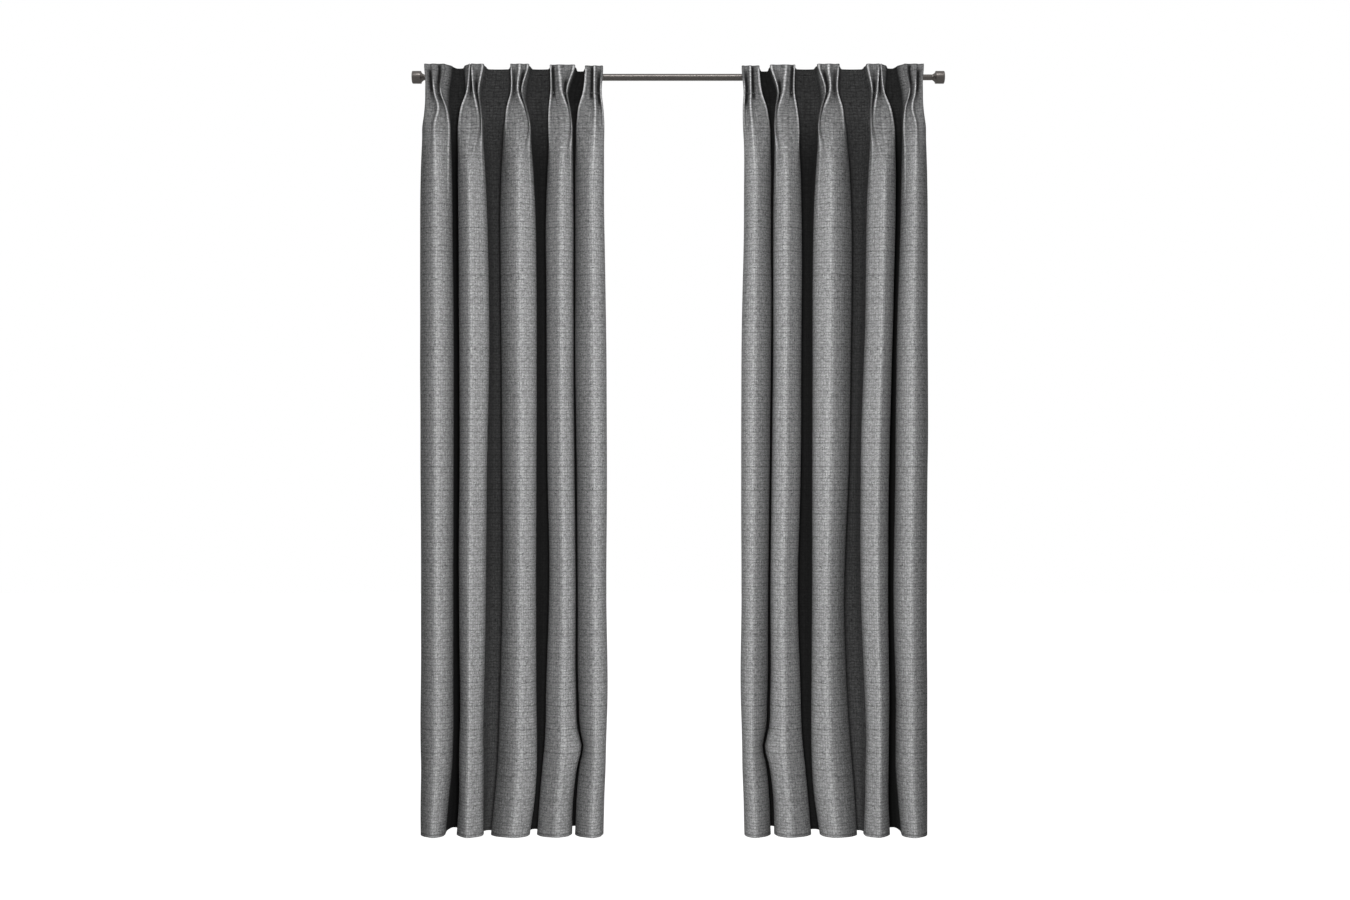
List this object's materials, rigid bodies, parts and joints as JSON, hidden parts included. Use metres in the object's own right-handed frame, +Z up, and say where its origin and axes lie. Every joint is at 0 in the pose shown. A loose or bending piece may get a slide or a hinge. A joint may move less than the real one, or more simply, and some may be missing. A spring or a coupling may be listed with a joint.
{
  "type": "pair of window curtains on a rod",
  "caption": "Pair of pinch-pleat window curtains hung by rings and hooks on a telescoping rod with wall brackets and capped finials.",
  "frame": {"origin": "on the wall plane, level with the rod's axis and midway between the two brackets", "axes": "+X along the rod to the viewer's right, +Y into the wall, +Z up"},
  "size_m": [1.4873, 0.1516, 2.134],
  "materials": {
    "cloth": "heathered grey basket weave, matt",
    "nickel": "satin brushed nickel",
    "zinc": "bright zinc",
    "wire": "nickel-plated spring wire",
    "plastic": "moulded black plastic"
  },
  "bodies": {
    "root": {"outer_tube": "nickel", "left_rod_plug": "plastic", "left_finial": "nickel", "left_bracket_plate": "nickel", "left_bracket_arm": "nickel", "left_thumb_screw": "nickel", "left_grub_screw": "zinc", "left_wall_screw_lower": "zinc", "left_wall_screw_upper": "zinc", "right_bracket_plate": "nickel", "right_bracket_arm": "nickel", "right_thumb_screw": "nickel", "right_grub_screw": "zinc", "right_wall_screw_lower": "zinc", "right_wall_screw_upper": "zinc", "left_ring_1": "nickel", "left_hook_1": "wire", "left_fold_1": "cloth", "right_ring_1": "nickel", "right_hook_1": "wire", "right_fold_1": "cloth"},
    "rod_extension": {"inner_tube": "nickel", "right_rod_plug": "plastic", "right_finial": "nickel"},
    "left_pleat_2": {"left_ring_2": "nickel", "left_hook_2": "wire", "left_fold_2": "cloth"},
    "left_pleat_3": {"left_ring_3": "nickel", "left_hook_3": "wire", "left_fold_3": "cloth"},
    "left_pleat_4": {"left_ring_4": "nickel", "left_hook_4": "wire", "left_fold_4": "cloth"},
    "left_pleat_5": {"left_ring_5": "nickel", "left_hook_5": "wire", "left_fold_5": "cloth"},
    "right_pleat_2": {"right_ring_2": "nickel", "right_hook_2": "wire", "right_fold_2": "cloth"},
    "right_pleat_3": {"right_ring_3": "nickel", "right_hook_3": "wire", "right_fold_3": "cloth"},
    "right_pleat_4": {"right_ring_4": "nickel", "right_hook_4": "wire", "right_fold_4": "cloth"},
    "right_pleat_5": {"right_ring_5": "nickel", "right_hook_5": "wire", "right_fold_5": "cloth"}
  },
  "joints": [
    {"name": "rod_extension_slide", "type": "slide", "parent": "root", "child": "rod_extension", "axis": [1, 0, 0], "range_m": [0, 0.4]},
    {"name": "left_draw", "type": "slide", "parent": "root", "child": "left_pleat_5", "axis": [1, 0, 0], "range_m": [0, 0.184]},
    {"name": "left_pleat_2_slide", "type": "slide", "parent": "root", "child": "left_pleat_2", "axis": [1, 0, 0], "range_m": [0, 0.0385]},
    {"name": "left_pleat_3_slide", "type": "slide", "parent": "root", "child": "left_pleat_3", "axis": [1, 0, 0], "range_m": [0, 0.1091]},
    {"name": "left_pleat_4_slide", "type": "slide", "parent": "root", "child": "left_pleat_4", "axis": [1, 0, 0], "range_m": [0, 0.1678]},
    {"name": "right_draw", "type": "slide", "parent": "root", "child": "right_pleat_5", "axis": [-1, 0, 0], "range_m": [0, 0.184]},
    {"name": "right_pleat_2_slide", "type": "slide", "parent": "root", "child": "right_pleat_2", "axis": [-1, 0, 0], "range_m": [0, 0.0385]},
    {"name": "right_pleat_3_slide", "type": "slide", "parent": "root", "child": "right_pleat_3", "axis": [-1, 0, 0], "range_m": [0, 0.1091]},
    {"name": "right_pleat_4_slide", "type": "slide", "parent": "root", "child": "right_pleat_4", "axis": [-1, 0, 0], "range_m": [0, 0.1678]}
  ],
  "couplings": [
    {"joint": "left_pleat_2_slide", "follows": "left_draw", "ratio": 0.2086},
    {"joint": "left_pleat_3_slide", "follows": "left_draw", "ratio": 0.5923},
    {"joint": "left_pleat_4_slide", "follows": "left_draw", "ratio": 0.9112},
    {"joint": "right_pleat_2_slide", "follows": "right_draw", "ratio": 0.2086},
    {"joint": "right_pleat_3_slide", "follows": "right_draw", "ratio": 0.5923},
    {"joint": "right_pleat_4_slide", "follows": "right_draw", "ratio": 0.9112}
  ]
}
